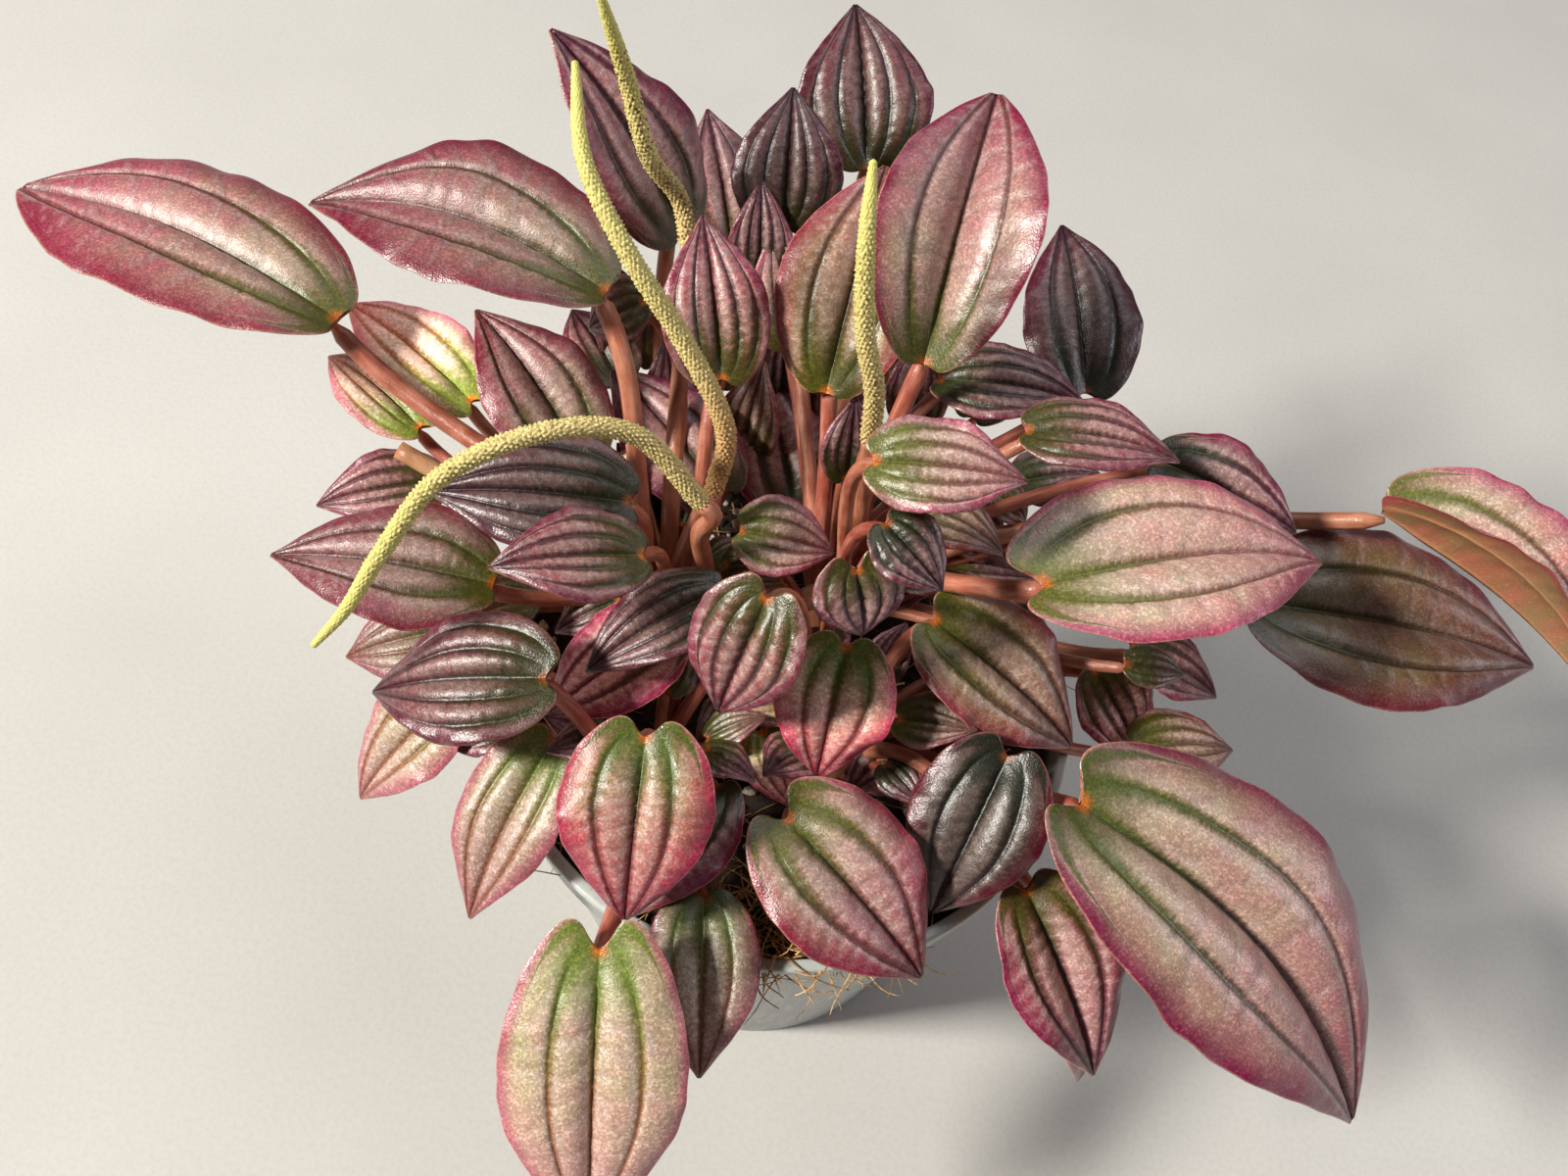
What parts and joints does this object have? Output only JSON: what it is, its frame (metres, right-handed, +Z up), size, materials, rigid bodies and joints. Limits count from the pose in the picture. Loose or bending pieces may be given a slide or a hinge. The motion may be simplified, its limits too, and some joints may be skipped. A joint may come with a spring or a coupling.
{
  "type": "potted ripple peperomia",
  "caption": "Ripple peperomia in a tapered plastic nursery pot: ovate, vein-ribbed silvery pink leaves on red petioles, with slim yellow-green flower spikes.",
  "frame": {"origin": "centre of the pot's flat underside", "axes": "+Z up through the pot, -Y towards the side that the plant shows as its front, +X to its right, along the longest spread of the leaves"},
  "size_m": [0.3011, 0.2036, 0.1862],
  "materials": {
    "pot": "satin",
    "soil": "matte",
    "stem": "satin",
    "leaf": "satin",
    "spike": "matte"
  },
  "bodies": {
    "root": {"pot": "pot", "soil": "soil", "crown_a": "stem", "crown_b": "stem", "crown_c": "stem", "crown_d": "stem", "leaf_01": "leaf", "leaf_02": "leaf", "leaf_03": "leaf", "leaf_04": "leaf", "leaf_05": "leaf", "leaf_06": "leaf", "leaf_07": "leaf", "leaf_08": "leaf", "leaf_09": "leaf", "leaf_10": "leaf", "leaf_11": "leaf", "leaf_12": "leaf", "leaf_13": "leaf", "leaf_14": "leaf", "leaf_15": "leaf", "leaf_16": "leaf", "leaf_17": "leaf", "leaf_18": "leaf", "leaf_19": "leaf", "leaf_20": "leaf", "leaf_21": "leaf", "leaf_22": "leaf", "leaf_23": "leaf", "leaf_24": "leaf", "leaf_25": "leaf", "leaf_26": "leaf", "leaf_27": "leaf", "leaf_28": "leaf", "leaf_29": "leaf", "leaf_30": "leaf", "leaf_31": "leaf", "leaf_32": "leaf", "leaf_33": "leaf", "leaf_34": "leaf", "leaf_35": "leaf", "leaf_36": "leaf", "leaf_37": "leaf", "leaf_38": "leaf", "leaf_39": "leaf", "leaf_40": "leaf", "leaf_41": "leaf", "leaf_42": "leaf", "leaf_43": "leaf", "leaf_44": "leaf", "leaf_45": "leaf", "leaf_46": "leaf", "leaf_47": "leaf", "leaf_48": "leaf", "leaf_49": "leaf", "leaf_50": "leaf", "spike_1": "spike", "spike_2": "spike", "spike_3": "spike", "spike_4": "spike"}
  },
  "joints": []
}
